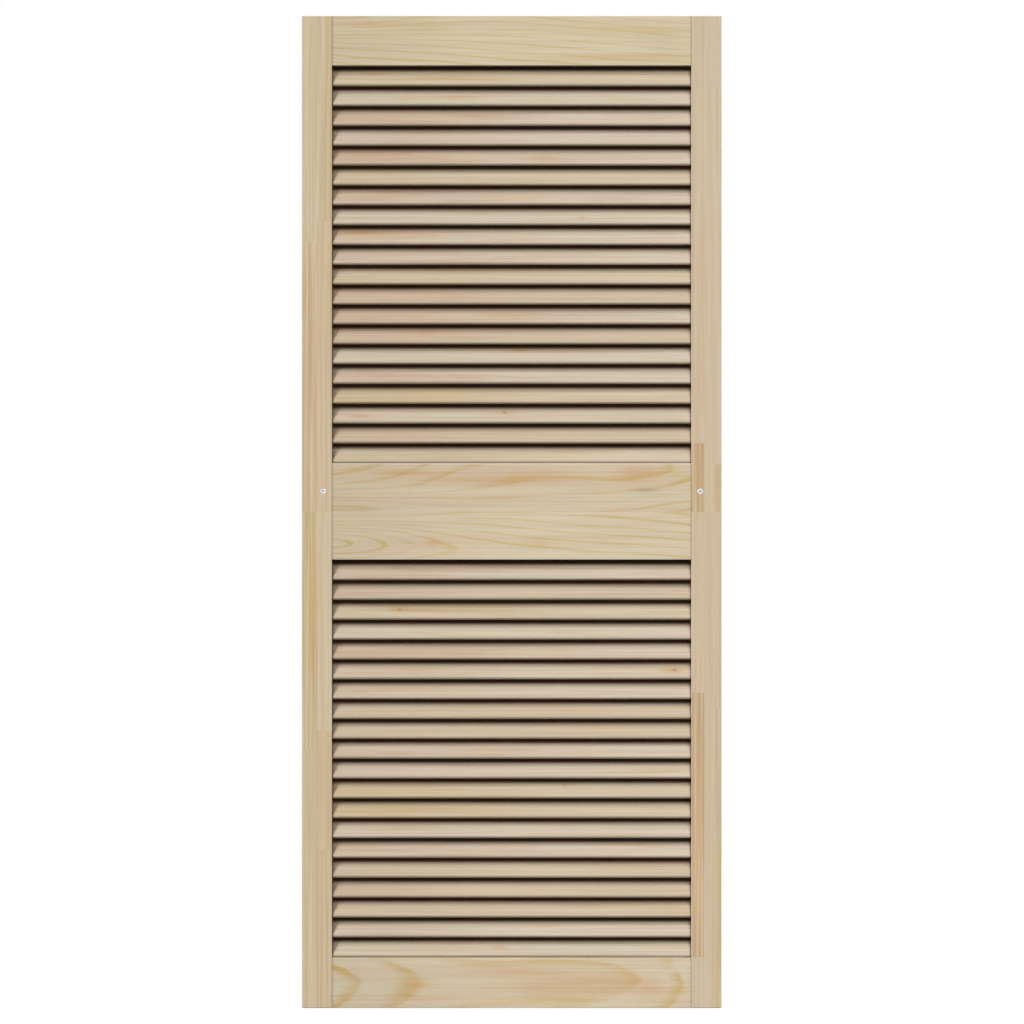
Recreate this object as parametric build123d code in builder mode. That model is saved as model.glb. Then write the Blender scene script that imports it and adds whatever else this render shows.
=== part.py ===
from build123d import *
from math import atan2, degrees, hypot
import os

# A tall louvred cabinet door of solid pine, in millimetres.
# X runs to the right as seen from the front, Y towards the back and Z up.
# The origin is the middle of the hinge edge, the outer face of the left stile.

# Overall sizes of the door
door_width = 592.0
door_height = 1400.0
door_thickness = 21.0

# Widths of the frame's members
stile_width = 42.5
top_rail_width = 70.0
middle_rail_width = 135.0
bottom_rail_width = 71.0

# Eased long edges of the frame's members, and the bevel round a stile's ends
edge_round = 0.8
stile_end_bevel = 0.8

# Tenons on the rails, and the mortises that take them
tenon_thickness = 7.0
tenon_length = 28.0
tenon_edge_shoulder = 12.0
tenon_bevel = 1.0
twin_tenon_space = 20.0
twin_tenon_from_width = 100.0
mortise_side_clearance = 0.1
mortise_end_clearance = 1.0

# Slats of the two louvre banks
slat_thickness = 6.0
slat_inset = 1.5
slat_spacing_wanted = 28.0
slat_overlap = 1.0
slat_gap_below = 0.5
slat_gap_above = 0.2

# Blind housings in the stiles, which take the slats' ends
housing_depth = 9.0
housing_side_clearance = 0.15
housing_end_clearance = 1.0

# Countersunk seat in each stile for a screw beside the middle rail
screw_head_diameter = 9.5
screw_shank_diameter = 4.5
screw_sink_angle = 90.0
screw_hole_floor = 1.0
screw_to_inner_face = 12.5
screw_below_rail_top = 39.0

# Places that follow from the sizes above
door_bottom = -door_height / 2
opening_width = door_width - 2 * stile_width
rail_widths = top_rail_width + middle_rail_width + bottom_rail_width
bank_height = (door_height - rail_widths) / 2
bottom_rail_base = door_bottom
lower_bank_base = bottom_rail_base + bottom_rail_width
middle_rail_base = lower_bank_base + bank_height
upper_bank_base = middle_rail_base + middle_rail_width
top_rail_base = upper_bank_base + bank_height

# The slats share each bank evenly. The lowest nose clears the rail below it, the
# highest back edge clears the rail above it, and each slat's back edge rises behind
# the nose of the next, so that nobody sees straight through the door.
slats_in_bank = round(bank_height / slat_spacing_wanted)
slat_room = bank_height - slat_gap_below - slat_gap_above - slat_overlap
slat_spacing = slat_room / slats_in_bank
slat_rise = slat_spacing + slat_overlap
slat_depth = door_thickness - 2 * slat_inset

# A slat's section is a flat board with full round edges. Its two edge centres lie
# this far apart, and it leans back from a low nose at the front.
edge_centre_rise = slat_rise - slat_thickness
edge_centre_run = slat_depth - slat_thickness
edge_centre_distance = hypot(edge_centre_run, edge_centre_rise)
slat_angle = degrees(atan2(edge_centre_rise, edge_centre_run))
slat_tail = housing_depth - housing_end_clearance

# Each screw goes into the stile's front cheek, the wood in front of the mortise
stile_cheek = (door_thickness - tenon_thickness) / 2 - mortise_side_clearance
screw_height = middle_rail_base + middle_rail_width - screw_below_rail_top


def slat_heights(bank_base):
    """Heights of the middles of one bank's slats, from the lowest up."""
    first = bank_base + slat_gap_below + slat_rise / 2
    return [first + number * slat_spacing for number in range(slats_in_bank)]


def tenon_spans(rail_base, rail_width):
    """Middle height and height of each tenon of one rail: one, or two on a wide rail."""
    low = rail_base + tenon_edge_shoulder
    high = rail_base + rail_width - tenon_edge_shoulder
    if rail_width < twin_tenon_from_width:
        return [((low + high) / 2, high - low)]
    height = (high - low - twin_tenon_space) / 2
    return [(low + height / 2, height), (high - height / 2, height)]


rails = {
    "bottom_rail": (bottom_rail_base, bottom_rail_width),
    "middle_rail": (middle_rail_base, middle_rail_width),
    "top_rail": (top_rail_base, top_rail_width),
}
banks = {
    "lower_slat": slat_heights(lower_bank_base),
    "upper_slat": slat_heights(upper_bank_base),
}
inner_face = Plane.YZ.offset(stile_width)
screw_seat = Plane(
    origin=(stile_width - screw_to_inner_face, -door_thickness / 2, screw_height),
    x_dir=(1, 0, 0),
    z_dir=(0, -1, 0),
)

os.makedirs("parts", exist_ok=True)

# Left stile: an eased board with mortises for the rails, slanted blind housings for
# the slats and a countersunk hole for a screw
with BuildPart() as left_stile:
    with BuildSketch(Plane.XY.offset(door_bottom)):
        with Locations((stile_width / 2, 0)):
            RectangleRounded(stile_width, door_thickness, edge_round)
    extrude(amount=door_height)
    for end_face in left_stile.faces().filter_by(Axis.Z):
        chamfer(end_face.edges(), stile_end_bevel)
    with BuildSketch(inner_face):
        for rail_base, rail_width in rails.values():
            for tenon_middle, tenon_height in tenon_spans(rail_base, rail_width):
                with Locations((0, tenon_middle)):
                    Rectangle(
                        tenon_thickness + 2 * mortise_side_clearance,
                        tenon_height + 2 * mortise_side_clearance,
                    )
    extrude(amount=-tenon_length - mortise_end_clearance, mode=Mode.SUBTRACT)
    with BuildSketch(inner_face):
        for heights in banks.values():
            with Locations([(0, height) for height in heights]):
                SlotCenterToCenter(
                    edge_centre_distance,
                    slat_thickness + 2 * housing_side_clearance,
                    rotation=slat_angle,
                )
    extrude(amount=-housing_depth, mode=Mode.SUBTRACT)
    with Locations(screw_seat):
        CounterSinkHole(
            radius=screw_shank_diameter / 2,
            counter_sink_radius=screw_head_diameter / 2,
            depth=stile_cheek - screw_hole_floor,
            counter_sink_angle=screw_sink_angle,
        )
left_stile.part.label = "left_stile"
export_step(left_stile.part, "parts/left_stile.step")

# Right stile: the left one mirrored across the middle of the door
with BuildPart() as right_stile:
    mirror(left_stile.part, about=Plane.YZ.offset(door_width / 2))
right_stile.part.label = "right_stile"
export_step(right_stile.part, "parts/right_stile.step")

# Rails: eased boards that butt against the stiles, with bevelled tenons at both ends
for rail_name, (rail_base, rail_width) in rails.items():
    with BuildPart() as rail:
        with BuildSketch(inner_face):
            with Locations((0, rail_base + rail_width / 2)):
                RectangleRounded(door_thickness, rail_width, edge_round)
        extrude(amount=opening_width)
        with BuildSketch(inner_face.offset(-tenon_length)):
            for tenon_middle, tenon_height in tenon_spans(rail_base, rail_width):
                with Locations((0, tenon_middle)):
                    Rectangle(tenon_thickness, tenon_height)
        extrude(amount=opening_width + 2 * tenon_length)
        end_faces = rail.faces().filter_by(Axis.X).group_by(Axis.X)
        chamfer((end_faces[0] + end_faces[-1]).edges(), tenon_bevel)
    rail.part.label = rail_name
    export_step(rail.part, f"parts/{rail_name}.step")

# Slats: round-edged boards that lean back from a low nose, with both ends housed
for slat_name, heights in banks.items():
    for number, height in enumerate(heights, start=1):
        with BuildPart() as slat:
            with BuildSketch(inner_face.offset(-slat_tail)):
                with Locations((0, height)):
                    SlotCenterToCenter(
                        edge_centre_distance, slat_thickness, rotation=slat_angle
                    )
            extrude(amount=opening_width + 2 * slat_tail)
        slat.part.label = f"{slat_name}_{number:02d}"
        export_step(slat.part, f"parts/{slat_name}_{number:02d}.step")
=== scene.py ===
import math
import random

import bpy
import numpy as np
from mathutils import Matrix, Vector


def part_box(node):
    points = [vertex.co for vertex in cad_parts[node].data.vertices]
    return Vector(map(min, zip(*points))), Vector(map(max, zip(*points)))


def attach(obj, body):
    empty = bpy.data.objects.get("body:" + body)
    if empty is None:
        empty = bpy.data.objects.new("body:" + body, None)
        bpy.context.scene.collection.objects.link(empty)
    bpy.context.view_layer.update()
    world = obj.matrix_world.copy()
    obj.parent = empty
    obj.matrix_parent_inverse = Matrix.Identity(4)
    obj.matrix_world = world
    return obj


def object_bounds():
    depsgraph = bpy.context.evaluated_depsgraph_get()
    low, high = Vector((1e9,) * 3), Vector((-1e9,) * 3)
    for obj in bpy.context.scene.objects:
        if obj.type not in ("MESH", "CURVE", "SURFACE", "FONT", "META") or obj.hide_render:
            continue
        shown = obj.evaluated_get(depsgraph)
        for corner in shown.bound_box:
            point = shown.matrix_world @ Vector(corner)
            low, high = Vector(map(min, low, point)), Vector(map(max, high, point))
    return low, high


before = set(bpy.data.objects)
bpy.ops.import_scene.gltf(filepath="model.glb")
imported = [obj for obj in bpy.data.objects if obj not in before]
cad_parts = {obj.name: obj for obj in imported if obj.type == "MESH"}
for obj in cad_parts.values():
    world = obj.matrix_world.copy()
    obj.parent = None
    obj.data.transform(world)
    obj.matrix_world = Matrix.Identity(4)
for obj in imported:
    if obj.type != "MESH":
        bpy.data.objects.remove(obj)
cad_bounds = [list(corner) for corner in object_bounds()]

# The door: its overall box and the members that other sizes come from, in metres
door_low, door_high = (Vector(corner) for corner in cad_bounds)
door_middle = (door_low + door_high) / 2
door_height = door_high.z - door_low.z
front_face = door_low.y
stile_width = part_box("left_stile")[1].x
half_opening = (door_high.x - door_low.x) / 2 - stile_width

# The photograph's framing: the door's top and bottom edges and its middle, in pixels
# of its 1024 x 1024 frame
IMAGE_SIZE = 1024
DOOR_TOP_PIXEL = 15.9
DOOR_BOTTOM_PIXEL = 1008.1
DOOR_MIDDLE_PIXEL_X = 511.65

# Camera
LENS_MM = 350.0
SENSOR_MM = 36.0

# Lamps: name, strength, angular size, angle towards the door's left from straight in
# front of it or straight behind it, angle above level, and side. Angles are in degrees.
# The key is a tall strip, made of two lamps one above the other. The three in front light
# a surface that faces the front so that its colour renders about as it is written.
LAMPS = (
    ("low_key", 1.77, 18.0, 47.0, 24.5, "front"),
    ("high_key", 2.10, 18.0, 47.0, 51.0, "front"),
    ("fill", 1.45, 24.0, -30.0, 30.0, "front"),
    ("left_back", 1.5, 30.0, 30.0, 8.0, "back"),
    ("right_back", 1.9, 24.0, -40.0, 12.0, "back"),
)
LAMP_DISTANCE = 3.0

# The floor: half its width in metres, its own brightness, and the glow that makes it look
# white outside the door's shadow
FLOOR_REACH = 6.0
FLOOR_TONE = 0.10
FLOOR_GLOW = 0.88

# Thickness of a slat, and how far up its face from the middle the painted deep shade starts and
# is full, in metres
SLAT_THICKNESS = 0.006
DEEP_SHADE_START = 0.0020
DEEP_SHADE_FULL = 0.0105


class Wiring:
    """Adds nodes to a tree and joins them. A value is a socket or a plain number."""

    def __init__(self, tree):
        self.tree = tree

    def node(self, kind, **settings):
        made = self.tree.nodes.new(kind)
        for name, value in settings.items():
            setattr(made, name, value)
        return made

    def put(self, socket, value):
        if isinstance(value, bpy.types.NodeSocket):
            self.tree.links.new(value, socket)
        else:
            socket.default_value = value

    def math(self, operation, *values):
        made = self.node("ShaderNodeMath", operation=operation)
        for socket, value in zip(made.inputs, values):
            self.put(socket, value)
        return made.outputs[0]

    def vector(self, operation, *values):
        made = self.node("ShaderNodeVectorMath", operation=operation)
        for socket, value in zip(made.inputs, values):
            self.put(socket, value)
        return made.outputs["Value"] if operation == "DOT_PRODUCT" else made.outputs[0]

    def split(self, vector):
        made = self.node("ShaderNodeSeparateXYZ")
        self.put(made.inputs[0], vector)
        return made.outputs

    def join(self, x, y, z):
        made = self.node("ShaderNodeCombineXYZ")
        for socket, value in zip(made.inputs, (x, y, z)):
            self.put(socket, value)
        return made.outputs[0]

    def smooth(self, value, low, high, to_low=0.0, to_high=1.0):
        made = self.node("ShaderNodeMapRange", interpolation_type="SMOOTHSTEP")
        for name, number in (
            ("Value", value),
            ("From Min", low),
            ("From Max", high),
            ("To Min", to_low),
            ("To Max", to_high),
        ):
            self.put(made.inputs[name], number)
        return made.outputs["Result"]

    def clamp(self, value):
        return self.math("MINIMUM", self.math("MAXIMUM", value, 0.0), 1.0)

    def bump(self, height, strength, distance):
        made = self.node("ShaderNodeBump")
        made.inputs["Strength"].default_value = strength
        made.inputs["Distance"].default_value = distance
        self.put(made.inputs["Height"], height)
        return made.outputs["Normal"]

    def noise(self, vector, detail=2.0):
        made = self.node("ShaderNodeTexNoise", noise_dimensions="3D")
        self.put(made.inputs["Vector"], vector)
        made.inputs["Scale"].default_value = 1.0
        made.inputs["Detail"].default_value = detail
        return made.outputs

    def mix(self, factor, first, second, blend="MIX"):
        made = self.node("ShaderNodeMix", data_type="RGBA", blend_type=blend)
        self.put(made.inputs["Factor"], factor)
        self.put(made.inputs["A"], first)
        self.put(made.inputs["B"], second)
        return made.outputs["Result"]

    def seen(self):
        """One where the camera, a reflection or glass sees the surface, and none where
        the surface only lights others."""
        path = self.node("ShaderNodeLightPath").outputs
        camera_or_gloss = self.math("MAXIMUM", path["Is Camera Ray"], path["Is Glossy Ray"])
        return self.math("MAXIMUM", camera_or_gloss, path["Is Transmission Ray"])

    def use(self, group, **values):
        """A node group placed in the tree. A value's name is its input's name, with an
        underscore for each space."""
        made = self.node("ShaderNodeGroup", node_tree=group)
        for name, value in values.items():
            self.put(made.inputs[name.replace("_", " ").capitalize()], value)
        return made.outputs


SOCKETS = {"vector": "NodeSocketVector", "value": "NodeSocketFloat", "colour": "NodeSocketColor"}


def new_group(name, inputs, outputs):
    """An empty shader node group with the named inputs and outputs, and its wiring."""
    tree = bpy.data.node_groups.new(name, "ShaderNodeTree")
    for socket_name, kind in inputs.items():
        tree.interface.new_socket(socket_name, in_out="INPUT", socket_type=SOCKETS[kind])
    for socket_name, kind in outputs.items():
        tree.interface.new_socket(socket_name, in_out="OUTPUT", socket_type=SOCKETS[kind])
    wiring = Wiring(tree)
    arrive = wiring.node("NodeGroupInput").outputs
    leave = wiring.node("NodeGroupOutput").inputs
    return tree, wiring, arrive, leave


# Growth rings: the bending noise's cells a metre along, across and through the board,
# the fine noise's cells and its size in metres, the share of a year at which its late
# wood is darkest, and how far years differ in start and strength
SLOW_BEND_SCALE = (3.2, 14.0, 14.0)
FINE_BEND_SCALE = (16.0, 90.0, 90.0)
FINE_BEND = 0.0012
DARKEST_SHARE = 0.86
START_SPREAD = 0.35
FAINTEST_YEAR = 0.35


def growth_rings_group():
    """Growth rings of a trunk, cut by the board. The distance from a pith that drifts
    away from the board's length, bent by slow noise and swellings and with a taper along
    the board, is divided by the ring spacing. Distances across count by a scale, which
    under one draws the rings out into cathedral arches. Each year's share past its early
    wood darkens slowly and ends at once."""
    tree, w, arrive, leave = new_group(
        "Growth rings",
        {
            "Place": "vector", "Pith across": "value", "Pith depth": "value",
            "Drift across": "value", "Drift depth": "value", "Across scale": "value",
            "Taper": "value", "Spacing": "value", "Early share": "value",
            "Wander": "value", "Swell": "value", "Seed": "value",
        },
        {"Late wood": "value"},
    )
    x, y, z = w.split(arrive["Place"])
    shift = w.join(w.math("MULTIPLY", arrive["Seed"], 3.7), arrive["Seed"], 0.0)
    slow_place = w.vector("ADD", w.vector("MULTIPLY", arrive["Place"], SLOW_BEND_SCALE), shift)
    slow = w.node("ShaderNodeSeparateColor")
    w.put(slow.inputs[0], w.noise(slow_place, detail=1.5)["Color"])
    fine_place = w.vector("ADD", w.vector("MULTIPLY", arrive["Place"], FINE_BEND_SCALE), shift)
    fine = w.noise(fine_place, detail=2.0)["Fac"]

    def offset(position, pith, drift, noise):
        from_pith = w.math("SUBTRACT", position, pith)
        straight = w.math("SUBTRACT", from_pith, w.math("MULTIPLY", x, drift))
        bend = w.math("MULTIPLY", w.math("SUBTRACT", noise, 0.5), arrive["Wander"])
        return w.math("ADD", straight, bend)

    across = offset(y, arrive["Pith across"], arrive["Drift across"], slow.outputs[0])
    across = w.math("MULTIPLY", across, arrive["Across scale"])
    depth = offset(z, arrive["Pith depth"], arrive["Drift depth"], slow.outputs[1])
    square = w.math("ADD", w.math("MULTIPLY", across, across), w.math("MULTIPLY", depth, depth))
    radius = w.math("ADD", w.math("SQRT", square), arrive["Swell"])
    radius = w.math("MULTIPLY_ADD", x, arrive["Taper"], radius)
    uneven = w.math("MULTIPLY", w.math("SUBTRACT", fine, 0.5), FINE_BEND)
    years = w.math("DIVIDE", w.math("ADD", radius, uneven), arrive["Spacing"])
    years = w.math("ADD", years, arrive["Seed"])
    share = w.math("FRACT", years)
    year = w.node("ShaderNodeTexWhiteNoise", noise_dimensions="1D")
    w.put(year.inputs["W"], w.math("FLOOR", years))
    tone = year.outputs["Value"]
    starts = w.math("MULTIPLY_ADD", tone, START_SPREAD, arrive["Early share"])
    rise = w.smooth(share, starts, DARKEST_SHARE)
    fall = w.smooth(share, DARKEST_SHARE, 1.0, 1.0, 0.0)
    strength = w.math("MULTIPLY_ADD", tone, 1.0 - FAINTEST_YEAR, FAINTEST_YEAR)
    w.put(leave["Late wood"], w.math("MULTIPLY", w.math("MULTIPLY", rise, fall), strength))
    return tree


# Fibres: each noise's cells a metre along, across and through the board
STREAK_SCALE = (4.0, 320.0, 320.0)
PORE_SCALE = (60.0, 3600.0, 3600.0)
FLECK_SCALE = (55.0, 1300.0, 1300.0)
PATCH_SCALE = (3.0, 45.0, 45.0)
MOTTLE_SCALE = (13.0, 140.0, 140.0)


def fibre_group():
    """Wood fibres: noise drawn out along the grain, coarse streaks and fine pores,
    short dark flecks where a third noise passes a limit, slow warm patches, and a
    mottling of smaller ones."""
    tree, w, arrive, leave = new_group(
        "Fibre",
        {"Place": "vector", "Seed": "value"},
        {"Streak": "value", "Pore": "value", "Fleck": "value", "Patch": "value",
         "Mottle": "value"},
    )
    shift = w.join(arrive["Seed"], w.math("MULTIPLY", arrive["Seed"], 5.1), 0.0)

    def stretched(scale, detail):
        place = w.vector("ADD", w.vector("MULTIPLY", arrive["Place"], scale), shift)
        return w.noise(place, detail)["Fac"]

    w.put(leave["Streak"], w.smooth(stretched(STREAK_SCALE, 3.0), 0.28, 0.72))
    w.put(leave["Pore"], stretched(PORE_SCALE, 1.0))
    w.put(leave["Fleck"], w.smooth(stretched(FLECK_SCALE, 1.0), 0.70, 0.80))
    w.put(leave["Patch"], w.smooth(stretched(PATCH_SCALE, 2.0), 0.34, 0.66))
    w.put(leave["Mottle"], w.smooth(stretched(MOTTLE_SCALE, 2.0), 0.35, 0.65, -1.0, 1.0))
    return tree


def pine_colour_group():
    """Pine's colour: early wood mixed with a warm tone by one mask and with late wood
    by the ring mask, stained by resin, and darkened a little by streaks, flecks, dull
    places, knots and end grain. Streaks run from minus one, pale, to plus one, dark."""
    tree, w, arrive, leave = new_group(
        "Pine colour",
        {
            "Late wood": "value", "Streak": "value", "Pore": "value", "Fleck": "value",
            "Warm": "value", "Resin": "value", "Dull": "value", "End grain": "value",
            "Knot": "value", "Early colour": "colour", "Late colour": "colour",
            "Warm colour": "colour", "Resin colour": "colour", "Knot colour": "colour",
        },
        {"Colour": "colour", "Roughness": "value", "Height": "value"},
    )
    colour = w.mix(arrive["Warm"], arrive["Early colour"], arrive["Warm colour"])
    colour = w.mix(arrive["Late wood"], colour, arrive["Late colour"])
    colour = w.mix(arrive["Resin"], colour, arrive["Resin colour"])
    shade = w.math("MULTIPLY_ADD", arrive["Streak"], -0.085, 1.0)
    shade = w.math("MULTIPLY", shade, w.math("SUBTRACT", 1.0, arrive["Dull"]))
    shade = w.math("MULTIPLY", shade, w.math("MULTIPLY_ADD", arrive["Pore"], 0.10, 0.95))
    shade = w.math("MULTIPLY", shade, w.math("MULTIPLY_ADD", arrive["Fleck"], -0.10, 1.0))
    shade = w.math("MULTIPLY", shade, w.math("MULTIPLY_ADD", arrive["End grain"], -0.22, 1.0))
    grey = w.join(shade, shade, shade)
    colour = w.mix(1.0, colour, grey, "MULTIPLY")
    w.put(leave["Colour"], w.mix(arrive["Knot"], colour, arrive["Knot colour"]))
    rough = w.math("MULTIPLY_ADD", arrive["Pore"], 0.16, 0.56)
    rough = w.math("MULTIPLY_ADD", arrive["Late wood"], -0.08, rough)
    w.put(leave["Roughness"], w.math("MULTIPLY_ADD", arrive["End grain"], 0.12, rough))
    height = w.math("MULTIPLY_ADD", arrive["Late wood"], 0.5, arrive["Pore"])
    w.put(leave["Height"], w.math("MULTIPLY_ADD", arrive["Streak"], -0.2, height))
    return tree


def hump_group():
    """A long soft hump on the board's face: one at its centre, falling off as a bell
    curve along and across the grain."""
    tree, w, arrive, leave = new_group(
        "Hump",
        {
            "Place": "vector", "Along": "value", "Across": "value",
            "Length": "value", "Width": "value",
        },
        {"Mask": "value"},
    )
    x, y, _ = w.split(arrive["Place"])
    along = w.math("DIVIDE", w.math("SUBTRACT", x, arrive["Along"]), arrive["Length"])
    across = w.math("DIVIDE", w.math("SUBTRACT", y, arrive["Across"]), arrive["Width"])
    square = w.math("ADD", w.math("MULTIPLY", along, along), w.math("MULTIPLY", across, across))
    w.put(leave["Mask"], w.math("EXPONENT", w.math("MULTIPLY", square, -0.5)))
    return tree


def joint_shade_line_group():
    """Painted shade along the thin line where a board's end meets a stile, in the corner where
    shade falls: one at the end of a length that is measured from the board's middle, falling to
    none across the line's width."""
    tree, w, arrive, leave = new_group(
        "Joint line",
        {"Place": "vector", "Half length": "value", "Width": "value"},
        {"Mask": "value"},
    )
    from_middle = w.math("ABSOLUTE", w.split(arrive["Place"])[0])
    starts = w.math("SUBTRACT", arrive["Half length"], arrive["Width"])
    full = w.math("MULTIPLY_ADD", arrive["Width"], -0.35, arrive["Half length"])
    w.put(leave["Mask"], w.smooth(from_middle, starts, full))
    return tree


def glued_block_group():
    """One glued block of a laminated board: a mask of one inside a rectangle of the
    board's face and none outside it."""
    tree, w, arrive, leave = new_group(
        "Glued block",
        {
            "Place": "vector", "Low along": "value", "High along": "value",
            "Low across": "value", "High across": "value",
        },
        {"Mask": "value"},
    )
    x, y, _ = w.split(arrive["Place"])
    inside = w.math("MULTIPLY", w.math("GREATER_THAN", x, arrive["Low along"]),
                    w.math("LESS_THAN", x, arrive["High along"]))
    beside = w.math("MULTIPLY", w.math("GREATER_THAN", y, arrive["Low across"]),
                    w.math("LESS_THAN", y, arrive["High across"]))
    w.put(leave["Mask"], w.math("MULTIPLY", inside, beside))
    return tree


def deep_shade_group():
    """Painted shade deep between two slats, where little light reaches: the upper part of a
    slat's front face and the lower part of its back face. The place across is multiplied by the
    place in the thickness, from minus one at the back face to one at the front face."""
    tree, w, arrive, leave = new_group("Deep shade", {"Place": "vector"}, {"Mask": "value"})
    _, across, depth = w.split(arrive["Place"])
    side = w.math("DIVIDE", depth, SLAT_THICKNESS / 2)
    inward = w.math("MULTIPLY", across, side)
    w.put(leave["Mask"], w.smooth(inward, DEEP_SHADE_START, DEEP_SHADE_FULL))
    return tree


GROWTH_RINGS = growth_rings_group()
FIBRE = fibre_group()
PINE_COLOUR = pine_colour_group()
HUMP = hump_group()
GLUED_BLOCK = glued_block_group()
DEEP_SHADE = deep_shade_group()
JOINT_SHADE_LINE = joint_shade_line_group()


def linear(red, green, blue):
    """A colour written as it looks on a screen, 0 to 255, as Blender's linear values."""
    return tuple(
        c / 12.92 if c <= 0.04045 else ((c + 0.055) / 1.055) ** 2.4
        for c in (red / 255, green / 255, blue / 255)
    ) + (1.0,)


def darker(colour, share):
    """A colour with each of its linear values cut to a share."""
    return tuple(value * share for value in colour[:3]) + (1.0,)


def between(first, second, share):
    """A colour part of the way from the first to the second."""
    return tuple(a + (b - a) * share for a, b in zip(first, second))


# Pine's colours: early wood, warm wood, late wood, resin and knots
CREAM = linear(206, 192, 164)
PALE = linear(208, 196, 174)
TAN = linear(199, 182, 152)
PINK = linear(204, 178, 152)
ROSE = linear(197, 166, 136)
HONEY = linear(199, 176, 126)
AMBER = linear(193, 160, 108)
STRAW = linear(193, 176, 122)
RESIN_ORANGE = linear(199, 157, 108)
KNOT_BROWN = linear(150, 108, 78)

# Planed pine's highlights, and the depth of its grain in metres
WOOD_SPECULAR = 0.16
GRAIN_DEPTH = 0.0002

# The slats' colours are cut to a share, painted shade, since their faces lean back towards the
# lamps above and catch more light than the frame; their tones lie near a mean one
SLAT_PAINTED_SHADE = 0.75
SLAT_MEAN = linear(204, 187, 167)
SLAT_LIKENESS = 0.45

# Painted shade deep between the slats, and painted shade along the lines where boards meet the
# stiles: their colour, then a rail's and a slat's line width in metres and strength
DEEP_PAINTED_SHADE_COLOUR = linear(84, 60, 44)
PAINTED_JOINT_SHADE = linear(84, 62, 44)
RAIL_JOINT_SHADE = (0.0024, 0.28)
SLAT_JOINT_SHADE = (0.0034, 0.65)

FRONT = (0.0, -1.0, 0.0)
DOWNWARD = (0.0, 0.0, -1.0)
RIGHTWARD = (1.0, 0.0, 0.0)


def board_turn(along, front):
    """The turn of a board whose length runs along one direction and whose show face
    looks to another: its own X is its length, Y its width and Z its thickness."""
    x = Vector(along).normalized()
    z = Vector(front).normalized()
    y = z.cross(x)
    return Matrix((x, y, z)).transposed().to_euler()


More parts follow.
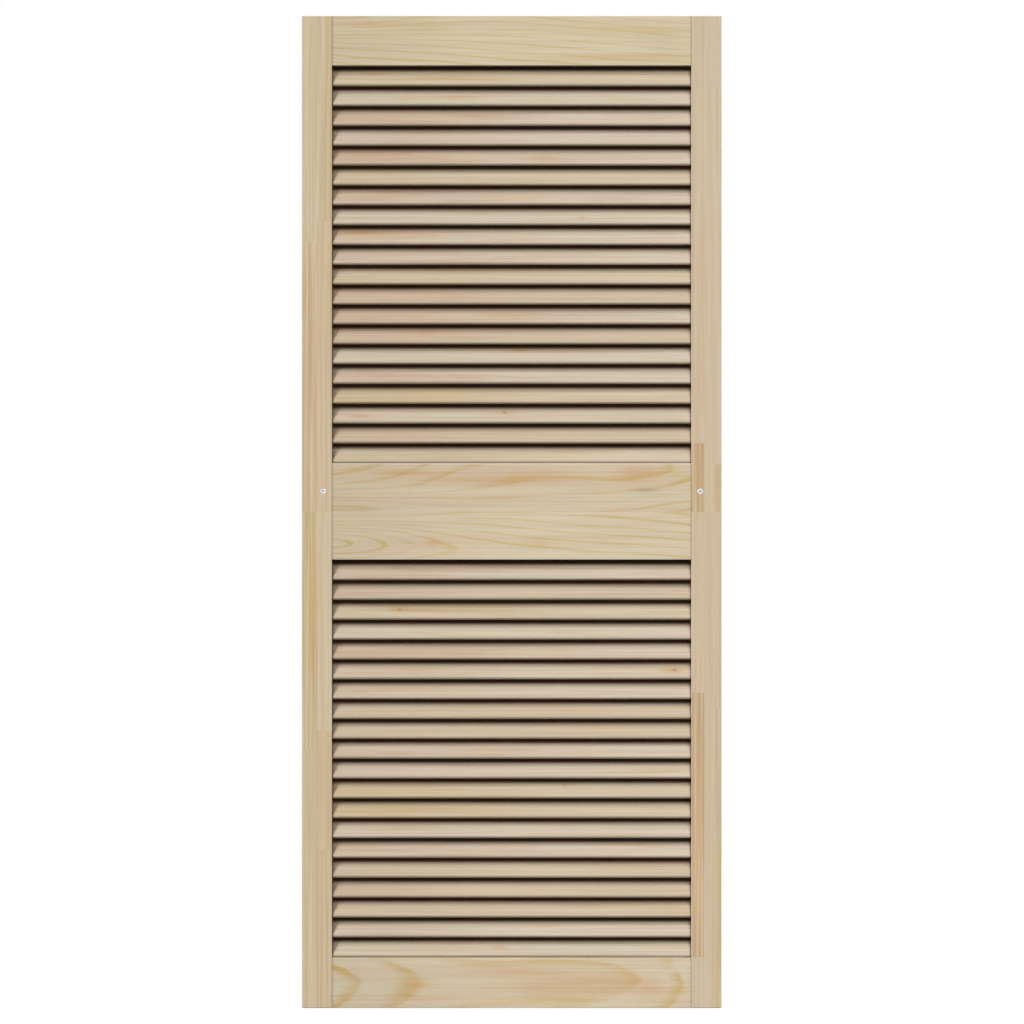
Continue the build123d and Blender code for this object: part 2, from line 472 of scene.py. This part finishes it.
class PineBoard:
    """Planed pine for one board, on the board's own axes: first its blocks, humps, warm
    streaks and knots are laid out, then its rings, fibres and colours join them."""

    def __init__(self, name, node, turn, seed):
        self.node = node
        self.turn = turn
        self.material = bpy.data.materials.new(name)
        self.material.use_nodes = True
        self.w = Wiring(self.material.node_tree)
        mapping = self.w.node("ShaderNodeMapping", vector_type="TEXTURE")
        self.w.put(mapping.inputs["Vector"], self.w.node("ShaderNodeTexCoord").outputs["Object"])
        low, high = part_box(node)
        mapping.inputs["Location"].default_value = (low + high) / 2
        mapping.inputs["Rotation"].default_value = turn
        self.place = mapping.outputs[0]
        self.seed = seed
        self.swell = 0.0
        self.warm = 0.0
        self.late = 0.0
        self.lively = 1.0
        self.resin = 0.0
        self.dullness = 0.0
        self.knot_mask = 0.0

    def add(self, mask, share, value):
        """A running value with a share of a mask added."""
        return self.w.math("MULTIPLY_ADD", mask, share, value)

    def hump(self, along, across, length, width):
        return self.w.use(HUMP, place=self.place, along=along, across=across,
                          length=length, width=width)["Mask"]

    def block(self, low, high):
        """The mask of a block between two corners, each a place along and across."""
        return self.w.use(GLUED_BLOCK, place=self.place, low_along=low[0], high_along=high[0],
                          low_across=low[1], high_across=high[1])["Mask"]

    def add_shares(self, mask, shares):
        """Each share of a mask added to the running value of its name."""
        for name, share in shares.items():
            setattr(self, name, self.add(mask, share, getattr(self, name)))

    def glue(self, low, high, **shares):
        """A glued block of other wood: its rings start elsewhere and its tone differs."""
        self.add_shares(self.block(low, high), shares)

    def swelling(self, along, across, length, width, height):
        """A place where the rings bulge, so that they make arches round it."""
        self.swell = self.add(self.hump(along, across, length, width), height, self.swell)

    def streak(self, along, across, length, width, **shares):
        """A streak of wood that is warmer, later, more resinous or duller. A width of a
        metre makes it a soft band across the whole board."""
        self.add_shares(self.hump(along, across, length, width), shares)

    def knot(self, along, across, size, strength=0.6):
        """A small knot: a dark spot, with the rings bent round it."""
        spot = self.hump(along, across, size, size * 0.7)
        self.knot_mask = self.add(spot, strength, self.knot_mask)
        self.streak(along, across, size * 5.0, size * 1.8,
                    warm=strength, resin=strength * 0.6)
        self.swelling(along, across, size * 4.0, size * 1.6, size * 1.2)

    def finish(self, pith, drift, across_scale=1.0, taper=0.0, spacing=0.0045,
               early_share=0.15, wander=0.010, early=CREAM, late=STRAW, warm=PINK,
               warmth=0.3, contrast=0.8, streaks=1.0, mottling=0.12, shade=1.0, joint=None,
               deep_shade=None):
        """Rings, fibres and colours, and the piece that shows them. The pith is a place across
        the board and one in its thickness, and the drift is how far it moves in each for a metre
        of length. Shade darkens every colour as painted shade, apart from a late wood's colour
        that differs over the board, which is a socket. A joint paints shade along the lines
        where the board's ends meet the stiles, and a deep shade colour paints shade deep between
        the slats."""
        w = self.w
        shader = self.material.node_tree.nodes["Principled BSDF"]
        rings = w.use(GROWTH_RINGS, place=self.place, pith_across=pith[0], pith_depth=pith[1],
                      drift_across=drift[0], drift_depth=drift[1], across_scale=across_scale,
                      taper=taper, spacing=spacing, early_share=early_share,
                      wander=wander, swell=self.swell, seed=self.seed)
        fibre = w.use(FIBRE, place=self.place, seed=self.seed)
        streak = w.math("MULTIPLY", w.math("MULTIPLY_ADD", fibre["Streak"], 2.0, -1.0),
                        w.math("MULTIPLY", self.lively, streaks))
        warm_mask = self.add(fibre["Patch"], warmth, self.warm)
        warm_mask = self.add(streak, 0.16, warm_mask)
        warm_mask = w.clamp(self.add(fibre["Mottle"], mottling, warm_mask))
        ring_strength = w.math("MULTIPLY_ADD", fibre["Patch"], 0.8 * contrast, 0.55 * contrast)
        late_mask = self.add(rings["Late wood"], ring_strength, self.late)
        late_mask = self.add(streak, 0.10, late_mask)
        late_mask = w.clamp(self.add(fibre["Mottle"], -0.6 * mottling, late_mask))
        resin = w.math("MULTIPLY", self.resin, w.math("MULTIPLY_ADD", fibre["Patch"], 0.8, 0.6))
        resin = w.math("MINIMUM", resin, 1.0)
        normal = w.node("ShaderNodeNewGeometry").outputs["Normal"]
        along = self.turn.to_matrix() @ Vector(RIGHTWARD)
        end = w.math("ABSOLUTE", w.vector("DOT_PRODUCT", normal, tuple(along)))
        late_colour = late if isinstance(late, bpy.types.NodeSocket) else darker(late, shade)
        pine = w.use(
            PINE_COLOUR, late_wood=late_mask, streak=streak, pore=fibre["Pore"],
            fleck=fibre["Fleck"], warm=warm_mask, resin=resin, dull=self.dullness,
            end_grain=w.smooth(end, 0.6, 0.95), knot=self.knot_mask,
            early_colour=darker(early, shade), late_colour=late_colour,
            warm_colour=darker(warm, shade), resin_colour=darker(RESIN_ORANGE, shade),
            knot_colour=darker(KNOT_BROWN, shade))
        colour = pine["Colour"]
        # Painted shade along the line where the board's end meets a stile
        if joint:
            width, strength = joint
            line = w.use(JOINT_SHADE_LINE, place=self.place, half_length=half_opening, width=width)
            colour = w.mix(w.math("MULTIPLY", line["Mask"], strength), colour, PAINTED_JOINT_SHADE)
        # Painted shade deep between the slats, where little light reaches
        if deep_shade:
            colour = w.mix(w.use(DEEP_SHADE, place=self.place)["Mask"], colour, deep_shade)
        w.put(shader.inputs["Base Color"], colour)
        w.put(shader.inputs["Roughness"], pine["Roughness"])
        w.put(shader.inputs["Normal"], w.bump(pine["Height"], 0.25, GRAIN_DEPTH))
        shader.inputs["Specular IOR Level"].default_value = WOOD_SPECULAR
        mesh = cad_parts[self.node].data
        mesh.materials.clear()
        mesh.materials.append(self.material)


RAIL_TURN = board_turn(RIGHTWARD, FRONT)
STILE_TURN = board_turn(DOWNWARD, FRONT)


def paint_top_rail():
    """Flat-sawn: arches at the upper left, and rings that run down to the right."""
    board = PineBoard("Top rail pine", "top_rail", RAIL_TURN, 3.0)
    board.swelling(-0.262, 0.030, 0.100, 0.016, 0.034)
    board.streak(0.130, 0.016, 0.090, 0.004, late=0.35, resin=0.15)
    board.streak(-0.130, 0.020, 0.030, 0.008, late=0.35)
    board.streak(-0.200, 0.024, 0.030, 0.004, resin=0.30)
    board.streak(0.190, 0.012, 0.030, 0.005, resin=0.25)
    board.streak(0.170, -0.022, 0.080, 0.003, late=0.35, resin=0.30)
    board.streak(0.210, -0.004, 0.020, 0.012, dullness=0.06)
    board.streak(-0.270, 0.0, 0.120, 1.0, dullness=0.09)
    board.finish(pith=(-0.075, -0.020), drift=(-0.078, 0.0), spacing=0.0098, early_share=0.40,
                 wander=0.024, early=linear(209, 195, 165), late=STRAW, warm=PINK, warmth=0.32,
                 contrast=0.95, streaks=0.50, joint=RAIL_JOINT_SHADE)


def paint_middle_rail():
    """Two boards glued edge to edge at the middle of the door: cathedral arches that open
    to the left above, and below them arches at the lower left and rings that run down to
    the right."""
    board = PineBoard("Middle rail pine", "middle_rail", RAIL_TURN, 5.0)
    upper = board.block((-1.0, 0.0), (1.0, 1.0))
    board.seed = board.add(upper, 3.31, board.seed)
    board.dullness = board.add(upper, 0.03, board.dullness)
    board.warm = board.add(upper, 0.12, board.warm)
    board.swelling(-0.262, 0.006, 0.110, 0.014, 0.020)
    board.swelling(-0.262, -0.047, 0.100, 0.024, -0.018)
    board.swelling(0.200, 0.060, 0.100, 0.040, -0.012)
    board.streak(-0.150, 0.055, 0.040, 0.0035, resin=0.65)
    board.streak(-0.080, 0.044, 0.070, 0.0022, resin=0.50)
    board.streak(0.010, 0.050, 0.060, 0.009, warm=0.6, resin=0.14)
    board.streak(0.180, 0.055, 0.022, 0.008, warm=0.4, resin=0.38)
    board.streak(0.190, 0.030, 0.012, 0.0025, dullness=0.22)
    board.streak(0.236, 0.052, 0.012, 0.007, warm=-0.5, late=0.45)
    board.streak(0.039, -0.044, 0.014, 0.006, late=0.25, resin=0.25)
    board.streak(-0.110, -0.044, 0.010, 0.005, resin=0.35)
    board.streak(0.000, -0.030, 0.110, 0.040, late=-0.22)
    board.streak(-0.270, 0.0, 0.120, 1.0, dullness=0.10)
    lift = board.add(upper, 0.1324, -0.0609)
    tilt = board.add(upper, 0.018, -0.063)
    scale = board.add(upper, -0.16, 0.50)
    taper = board.add(upper, 0.058, 0.005)
    deep = board.add(upper, -0.0026, 0.004)
    late_colour = board.w.mix(upper, between(STRAW, HONEY, 0.2), between(HONEY, AMBER, 0.4))
    board.finish(pith=(lift, deep), drift=(tilt, 0.0), across_scale=scale, taper=taper,
                 spacing=0.0052, early_share=0.35, wander=0.014, early=linear(208, 194, 166),
                 late=late_colour, warm=PINK, warmth=0.40, contrast=1.1,
                 streaks=0.50, joint=RAIL_JOINT_SHADE)


def paint_bottom_rail():
    """Flat-sawn: nested cathedral arches that open to the left, with amber bands."""
    board = PineBoard("Bottom rail pine", "bottom_rail", RAIL_TURN, 8.30)
    board.swell = 0.00095
    board.swelling(0.200, 0.0, 0.150, 1.0, -0.0210)
    board.streak(-0.140, -0.002, 0.018, 0.0055, late=0.30, resin=0.45)
    board.streak(0.000, 0.014, 0.050, 0.0030, resin=0.40)
    board.streak(0.085, 0.003, 0.070, 0.009, warm=0.4, late=0.34, resin=0.16)
    board.streak(0.040, -0.009, 0.050, 0.0025, resin=0.40)
    board.streak(-0.120, -0.022, 0.060, 0.0025, resin=0.40)
    board.streak(0.196, -0.010, 0.018, 0.008, warm=0.4, resin=0.45)
    board.streak(0.225, 0.010, 0.016, 0.012, warm=-0.6, late=-0.3)
    board.streak(0.238, -0.010, 0.012, 0.006, late=0.50)
    board.streak(-0.270, 0.0, 0.120, 1.0, dullness=0.10)
    board.streak(0.0, 0.0, 0.600, 1.0, dullness=0.03)
    board.finish(pith=(0.001, 0.0012), drift=(0.030, 0.0), across_scale=0.200, taper=0.075,
                 spacing=0.0056, early_share=0.26, wander=0.009, early=linear(207, 193, 166),
                 late=between(HONEY, AMBER, 0.6), warm=PINK, warmth=0.50, contrast=1.10,
                 streaks=0.50, mottling=0.20, joint=RAIL_JOINT_SHADE)


def paint_stiles():
    """The stiles: straight-grained boards, each glued from narrow strips whose blocks
    meet end to end. Places along run down from the door's middle."""
    board = PineBoard("Left stile pine", "left_stile", STILE_TURN, 11.0)
    half = stile_width / 2
    seam = 0.0
    top, lowest = -1.0, 1.0
    board.glue((top, -half), (-0.381, seam), seed=2.3, warm=-0.35)
    board.glue((-0.381, -half), (0.0, seam), seed=4.1, warm=0.36, lively=1.0, dullness=0.01)
    board.glue((0.0, -half), (0.336, seam), seed=7.7, warm=-0.30, late=0.30, lively=1.5,
               dullness=0.04)
    board.glue((0.336, -half), (lowest, seam), seed=6.4, warm=0.05, lively=0.3, dullness=0.035)
    board.glue((top, seam), (-0.410, half), seed=1.4, warm=-0.05, late=0.08, lively=0.8,
               dullness=0.02)
    board.glue((-0.410, seam), (0.0, half), seed=2.6, warm=0.20)
    board.glue((0.0, seam), (0.308, half), seed=5.2, warm=-0.45)
    board.glue((0.308, seam), (0.477, half), seed=8.6, warm=0.45, resin=0.04, dullness=0.02)
    board.glue((0.477, seam), (lowest, half), seed=3.5, warm=0.22, lively=0.6, dullness=0.05)
    board.streak(0.145, -0.008, 0.080, 0.0018, late=0.40, resin=0.35)
    board.streak(0.040, -0.014, 0.120, 0.0016, late=0.50)
    board.streak(0.130, -0.002, 0.110, 0.0012, late=0.35, resin=0.15)
    board.streak(-0.320, -0.017, 0.050, 0.0018, resin=0.45)
    board.streak(-0.150, -0.004, 0.100, 0.0011, resin=0.35)
    board.streak(0.420, 0.006, 0.060, 0.0010, resin=0.45)
    board.finish(pith=(0.030, -0.060), drift=(0.004, 0.003), spacing=0.0036, wander=0.006,
                 early=linear(200, 184, 156), late=HONEY, warm=ROSE, warmth=0.25,
                 contrast=0.45, streaks=0.65)

    board = PineBoard("Right stile pine", "right_stile", STILE_TURN, 23.0)
    inner_seam = -half + 0.018
    outer_seam = -half + 0.030
    board.glue((top, -half), (-0.597, inner_seam), seed=1.8, lively=1.0)
    board.glue((-0.597, -half), (-0.097, inner_seam), seed=2.9, warm=0.05)
    board.glue((-0.097, -half), (0.0, inner_seam), seed=4.7, warm=0.2, late=0.20, resin=0.22,
               lively=3.0, dullness=0.03)
    board.glue((0.0, -half), (0.255, inner_seam), seed=6.1, warm=0.1)
    board.glue((0.255, -half), (0.628, inner_seam), seed=9.3, warm=0.2, late=0.15, resin=0.22,
               lively=3.2, dullness=0.06)
    board.glue((0.628, -half), (lowest, inner_seam), seed=3.8, dullness=0.05)
    board.glue((top, inner_seam), (lowest, outer_seam), seed=5.9, warm=-0.1)
    board.glue((0.0, inner_seam), (lowest, outer_seam), seed=1.1, dullness=0.03)
    board.glue((top, outer_seam), (-0.600, half), seed=7.4, warm=-0.6, late=-0.3,
               dullness=-0.02)
    board.glue((-0.600, outer_seam), (-0.067, half), seed=4.4, lively=0.4)
    board.glue((-0.067, outer_seam), (0.0, half), seed=8.8, warm=0.3, late=0.25, lively=0.8)
    board.glue((0.278, outer_seam), (lowest, half), seed=1.9, late=0.18, lively=1.0,
               dullness=0.02)
    for along, length in ((-0.048, 0.030), (0.440, 0.120)):
        for across, strength in ((0.0035, 0.35), (0.0085, 0.40), (0.0120, 0.30)):
            board.streak(along, across - half, length, 0.0010, resin=strength)
    board.finish(pith=(-0.035, -0.065), drift=(-0.003, 0.003), spacing=0.0036, wander=0.006,
                 early=linear(202, 185, 159), late=between(HONEY, AMBER, 0.6), warm=ROSE,
                 warmth=0.18, contrast=0.30, streaks=0.40)


# The slats' tones: early wood, late wood, warm wood, and how warm the left third is
SLAT_TONES = {
    "pale": (PALE, HONEY, PINK, 0.30),
    "cream": (PALE, STRAW, CREAM, 0.30),
    "straw": (CREAM, STRAW, HONEY, 0.30),
    "tan": (TAN, HONEY, PINK, 0.30),
    "pinkish": (PALE, PINK, ROSE, 0.55),
    "pink left": (PALE, ROSE, ROSE, 1.00),
    "amber left": (CREAM, AMBER, HONEY, 1.00),
    "dull": (TAN, ROSE, ROSE, 0.45),
}

# The tone of each slat, from the lowest of its bank to the highest
UPPER_TONES = (
    "straw", "dull", "pale", "amber left", "pinkish",
    "cream", "dull", "pink left", "dull", "straw",
    "pinkish", "pale", "cream", "pinkish", "straw",
    "pink left", "pale", "pinkish", "cream", "straw",
)
LOWER_TONES = (
    "cream", "pale", "tan", "dull", "tan",
    "pinkish", "cream", "amber left", "amber left", "pale",
    "pinkish", "tan", "tan", "pale", "pale",
    "pink left", "cream", "straw", "dull", "pinkish",
)

# Resin streaks and knots that stand out: bank, slat, place along from the door's left
# edge, place across, then a streak's length and strength or a knot's size. Faint streaks
# at random places join them.
RESIN_STREAK_WIDTH = 0.0022
FAINT_STREAKS = 3
RESIN_STREAKS = (
    ("upper", 20, 0.210, -0.006, 0.050, 0.35), ("upper", 20, 0.100, 0.002, 0.012, 0.35),
    ("upper", 19, 0.225, -0.003, 0.028, 0.45), ("upper", 19, 0.150, -0.005, 0.014, 0.45),
    ("upper", 12, 0.085, 0.003, 0.020, 0.40), ("upper", 6, 0.307, 0.004, 0.010, 0.50),
    ("upper", 16, 0.110, 0.001, 0.040, 0.30), ("upper", 9, 0.190, -0.003, 0.030, 0.30),
    ("upper", 3, 0.080, -0.006, 0.012, 0.60), ("upper", 14, 0.300, -0.002, 0.030, 0.30),
    ("lower", 14, 0.145, -0.001, 0.045, 0.45), ("lower", 14, 0.080, -0.006, 0.010, 0.40),
    ("lower", 15, 0.520, -0.003, 0.016, 0.30), ("lower", 9, 0.371, 0.003, 0.004, 0.60),
    ("lower", 1, 0.279, -0.002, 0.008, 0.40), ("lower", 3, 0.420, 0.001, 0.040, 0.30),
    ("lower", 18, 0.150, -0.002, 0.030, 0.30), ("lower", 6, 0.250, -0.004, 0.040, 0.25),
)
SLAT_KNOTS = (
    ("upper", 3, 0.286, 0.000, 0.0016), ("lower", 18, 0.138, -0.002, 0.0018),
    ("lower", 15, 0.526, -0.003, 0.0024), ("upper", 13, 0.395, -0.006, 0.0010),
)


def paint_slats():
    """The slats: thin boards that lean back, each cut from another place."""
    chance = random.Random(7)
    more_chance = random.Random(19)
    low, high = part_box("upper_slat_01")
    run = high.y - low.y - SLAT_THICKNESS
    rise = high.z - low.z - SLAT_THICKNESS
    turn = board_turn(RIGHTWARD, (0.0, -rise, run))
    for bank, tones in (("upper", UPPER_TONES), ("lower", LOWER_TONES)):
        for number, tone in enumerate(tones, start=1):
            node = f"{bank}_slat_{number:02d}"
            *colours, left_warmth = SLAT_TONES[tone]
            early, late, warm = (between(c, SLAT_MEAN, SLAT_LIKENESS) for c in colours)
            board = PineBoard(f"{node} pine", node, turn, chance.uniform(0.0, 80.0))
            board.streak(-0.250, 0.0, chance.uniform(0.13, 0.20), 1.0, warm=left_warmth,
                         dullness=0.05)
            board.streak(0.270, 0.0, 0.160, 1.0, warm=-0.25, dullness=-0.02)
            for streak_bank, slat, place, across, length, strength in RESIN_STREAKS:
                if (streak_bank, slat) == (bank, number):
                    board.streak(place - door_middle.x, across, length, RESIN_STREAK_WIDTH,
                                 resin=strength)
            for _ in range(FAINT_STREAKS):
                board.streak(
                    more_chance.uniform(-0.24, 0.24), more_chance.uniform(-0.008, 0.004),
                    more_chance.uniform(0.015, 0.055), more_chance.uniform(0.0015, 0.0040),
                    warm=more_chance.uniform(-0.4, 0.5), resin=more_chance.uniform(-0.10, 0.30))
            for knot_bank, slat, place, across, size in SLAT_KNOTS:
                if (knot_bank, slat) == (bank, number):
                    board.knot(place - door_middle.x, across, size)
            board.finish(
                pith=(chance.uniform(-0.05, 0.05), chance.uniform(-0.10, -0.04)),
                drift=(chance.uniform(-0.02, 0.02), chance.uniform(-0.02, 0.02)),
                spacing=chance.uniform(0.0026, 0.0044), wander=0.006,
                early=early, late=late, warm=warm, warmth=0.30, contrast=0.50, streaks=0.9,
                mottling=0.30, shade=SLAT_PAINTED_SHADE, joint=SLAT_JOINT_SHADE, deep_shade=DEEP_PAINTED_SHADE_COLOUR)


def new_mesh_object(name, vertices, faces, material, smooth=True):
    """A mesh object at the origin, from lists of points and faces."""
    mesh = bpy.data.meshes.new(name)
    mesh.from_pydata(vertices, [], faces)
    mesh.polygons.foreach_set("use_smooth", np.full(len(mesh.polygons), smooth))
    mesh.materials.append(material)
    mesh.update()
    made = bpy.data.objects.new(name, mesh)
    bpy.context.scene.collection.objects.link(made)
    return made


# Screws: places and sizes, in metres, that fit the stiles' countersunk seats
SCREW_TO_INNER_FACE = 0.0125
SCREW_BELOW_RAIL_TOP = 0.039
SEAT_RADIUS = 0.00475
SEAT_CLEARANCE = 0.00005
HOLE_RADIUS = 0.00225
SHANK_CLEARANCE = 0.0002
SHANK_LENGTH = 0.0012
HEAD_RADIUS = 0.0044
DOME_RISE = 0.0003
CROSS_REACH = 0.0024
CROSS_HALF_WIDTH = 0.00045
CROSS_DEPTH = 0.0013
RECESS_SHADE_DEPTHS = (0.0011, 0.0017)

# The screws' grid: spokes round the head, steps across its top, and how near its middle
# and the shank's the innermost rings come, as shares of their radius
SPOKES = 96
TOP_STEPS = 26
TOP_INNERMOST = 0.03
SHANK_INNERMOST = 0.05


def screw_material():
    """Zinc plate with a little mottling, and painted shade deep in the cross recess."""
    material = bpy.data.materials.new("Zinc plate")
    material.use_nodes = True
    w = Wiring(material.node_tree)
    shader = material.node_tree.nodes["Principled BSDF"]
    place = w.node("ShaderNodeTexCoord").outputs["Object"]
    mottle = w.noise(w.vector("MULTIPLY", place, (900.0, 900.0, 900.0)))["Fac"]
    plate = w.mix(mottle, linear(174, 173, 172), linear(203, 203, 206))
    # Painted shade: darker deeper in the cross recess
    inward = w.math("SUBTRACT", w.split(place)[1], front_face)
    recess_shade = w.smooth(inward, *RECESS_SHADE_DEPTHS, 0.0, 0.8)
    w.put(shader.inputs["Base Color"], w.mix(recess_shade, plate, linear(96, 90, 84)))
    w.put(shader.inputs["Roughness"], w.math("MULTIPLY_ADD", mottle, 0.2, 0.36))
    w.put(shader.inputs["Normal"], w.bump(mottle, 0.2, 0.00005))
    shader.inputs["Metallic"].default_value = 1.0
    return material


def add_screw(name, x, z, turn, material):
    """A domed countersunk screw head, sunk in its seat, on a grid of profile step by
    angle. The profile runs from the middle of the domed top out to the rim, down the cone,
    along the shank's start and in under it. The dome's rise falls with the square of the
    radius. In it lies the cross recess: full where a point lies within half a slot's width
    of either slot line, ramped off at the slots' walls and ends. A point closes the top,
    and another the shank."""
    rim_depth = SEAT_RADIUS - HEAD_RADIUS - SEAT_CLEARANCE
    shank = HOLE_RADIUS - SHANK_CLEARANCE
    shank_depth = rim_depth + HEAD_RADIUS - shank
    angle = np.arange(SPOKES) * 2 * np.pi / SPOKES
    top_radius = np.linspace(TOP_INNERMOST, 1.0, TOP_STEPS) * HEAD_RADIUS
    top_depth = rim_depth - DOME_RISE * (1 - (top_radius / HEAD_RADIUS) ** 2)
    below = shank_depth + np.array([0.0, SHANK_LENGTH, SHANK_LENGTH])
    profile_radius = np.concatenate([top_radius, [shank, shank, shank * SHANK_INNERMOST]])
    profile_depth = np.concatenate([top_depth, below])
    ring_radius, ring_angle = np.meshgrid(profile_radius, angle, indexing="ij")
    depth = np.repeat(profile_depth[:, None], SPOKES, axis=1)
    u = ring_radius * np.cos(ring_angle + turn)
    v = ring_radius * np.sin(ring_angle + turn)
    slot = np.zeros_like(u)
    for long_way, short_way in ((u, v), (v, u)):
        wall = np.clip(3 - 2 * np.abs(short_way) / CROSS_HALF_WIDTH, 0, 1)
        end = np.clip((CROSS_REACH - np.abs(long_way)) / (CROSS_REACH * 0.6), 0, 1)
        slot = np.maximum(slot, wall * end)
    slot[TOP_STEPS:] = 0.0
    depth = depth + CROSS_DEPTH * slot
    grid_x = x + ring_radius * np.cos(ring_angle)
    grid_z = z + ring_radius * np.sin(ring_angle)
    points = np.stack([grid_x, front_face + depth, grid_z], axis=-1).reshape(-1, 3)
    rings = len(profile_radius)
    ring = np.arange(rings - 1)[:, None] * SPOKES
    here, after = np.arange(SPOKES), np.roll(np.arange(SPOKES), -1)
    quads = np.stack([ring + here, ring + SPOKES + here, ring + SPOKES + after, ring + after],
                     axis=-1).reshape(-1, 4)
    top_middle, shank_middle = len(points), len(points) + 1
    middle_depths = (profile_depth[0] + CROSS_DEPTH, profile_depth[-1])
    points = np.vstack([points, [(x, front_face + deep, z) for deep in middle_depths]])
    behind = (rings - 1) * SPOKES
    top_cap = np.stack([np.full(SPOKES, top_middle), here, after], axis=-1)
    shank_cap = np.stack([np.full(SPOKES, shank_middle), behind + after, behind + here], axis=-1)
    faces = quads.tolist() + top_cap.tolist() + shank_cap.tolist()
    screw = new_mesh_object(name, points.tolist(), faces, material)
    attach(screw, "root")


def add_screws():
    """One screw beside each end of the middle rail, in the stile's face."""
    material = screw_material()
    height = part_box("middle_rail")[1].z - SCREW_BELOW_RAIL_TOP
    inset = stile_width - SCREW_TO_INNER_FACE
    add_screw("left_screw", door_low.x + inset, height, 0.5, material)
    add_screw("right_screw", door_high.x - inset, height, 0.2, material)


def add_floor():
    """A plain pale floor: a wide square at the door's foot. It glows for the camera just
    enough to look white outside the door's shadow."""
    corners = ((-1, -1), (1, -1), (1, 1), (-1, 1))
    points = [(door_middle.x + x * FLOOR_REACH, y * FLOOR_REACH, door_low.z) for x, y in corners]
    material = bpy.data.materials.new("Pale floor")
    material.use_nodes = True
    w = Wiring(material.node_tree)
    shader = material.node_tree.nodes["Principled BSDF"]
    shader.inputs["Base Color"].default_value = (FLOOR_TONE, FLOOR_TONE, FLOOR_TONE, 1.0)
    shader.inputs["Roughness"].default_value = 0.9
    shader.inputs["Specular IOR Level"].default_value = 0.1
    shader.inputs["Emission Color"].default_value = (1.0, 1.0, 1.0, 1.0)
    w.put(shader.inputs["Emission Strength"], w.math("MULTIPLY", w.seen(), FLOOR_GLOW))
    floor = new_mesh_object("floor", points, [(0, 1, 2, 3)], material, smooth=False)


def add_world():
    """White where the camera looks. It adds no light to the door."""
    world = bpy.data.worlds.new("Studio")
    bpy.context.scene.world = world
    world.use_nodes = True
    w = Wiring(world.node_tree)
    background = world.node_tree.nodes["Background"]
    background.inputs["Color"].default_value = (1.0, 1.0, 1.0, 1.0)
    w.put(background.inputs["Strength"], w.seen())


def add_lamp(name, strength, spread, from_left, above, side):
    """A soft distant lamp that shines towards the door from one side and from above."""
    lamp = bpy.data.lights.new(name, "SUN")
    lamp.energy = strength
    lamp.angle = math.radians(spread)
    made = bpy.data.objects.new(name, lamp)
    aside, up = math.radians(from_left), math.radians(above)
    forward = 1.0 if side == "back" else -1.0
    towards_lamp = Vector((
        -math.sin(aside) * math.cos(up),
        forward * math.cos(aside) * math.cos(up),
        math.sin(up),
    ))
    made.rotation_mode = "QUATERNION"
    made.rotation_quaternion = towards_lamp.to_track_quat("Z", "Y")
    made.location = door_middle + towards_lamp * LAMP_DISTANCE
    bpy.context.scene.collection.objects.link(made)


def add_camera():
    """A long lens level with the middle of the door, as far off as the framing needs."""
    metres_per_pixel = door_height / (DOOR_BOTTOM_PIXEL - DOOR_TOP_PIXEL)
    frame_width = IMAGE_SIZE * metres_per_pixel
    distance = frame_width * LENS_MM / SENSOR_MM
    camera = bpy.data.cameras.new("camera")
    camera.lens = LENS_MM
    camera.sensor_width = SENSOR_MM
    camera.clip_start = 0.1
    camera.clip_end = 100.0
    made = bpy.data.objects.new("camera", camera)
    aside = (IMAGE_SIZE / 2 - DOOR_MIDDLE_PIXEL_X) * metres_per_pixel
    made.location = (door_middle.x + aside, front_face - distance, door_middle.z)
    made.rotation_euler = (math.pi / 2, 0.0, 0.0)
    bpy.context.scene.collection.objects.link(made)
    bpy.context.scene.camera = made


paint_top_rail()
paint_middle_rail()
paint_bottom_rail()
paint_stiles()
paint_slats()
add_screws()
add_floor()
add_world()
for lamp_row in LAMPS:
    add_lamp(*lamp_row)
add_camera()
bpy.context.scene.view_settings.view_transform = "Standard"
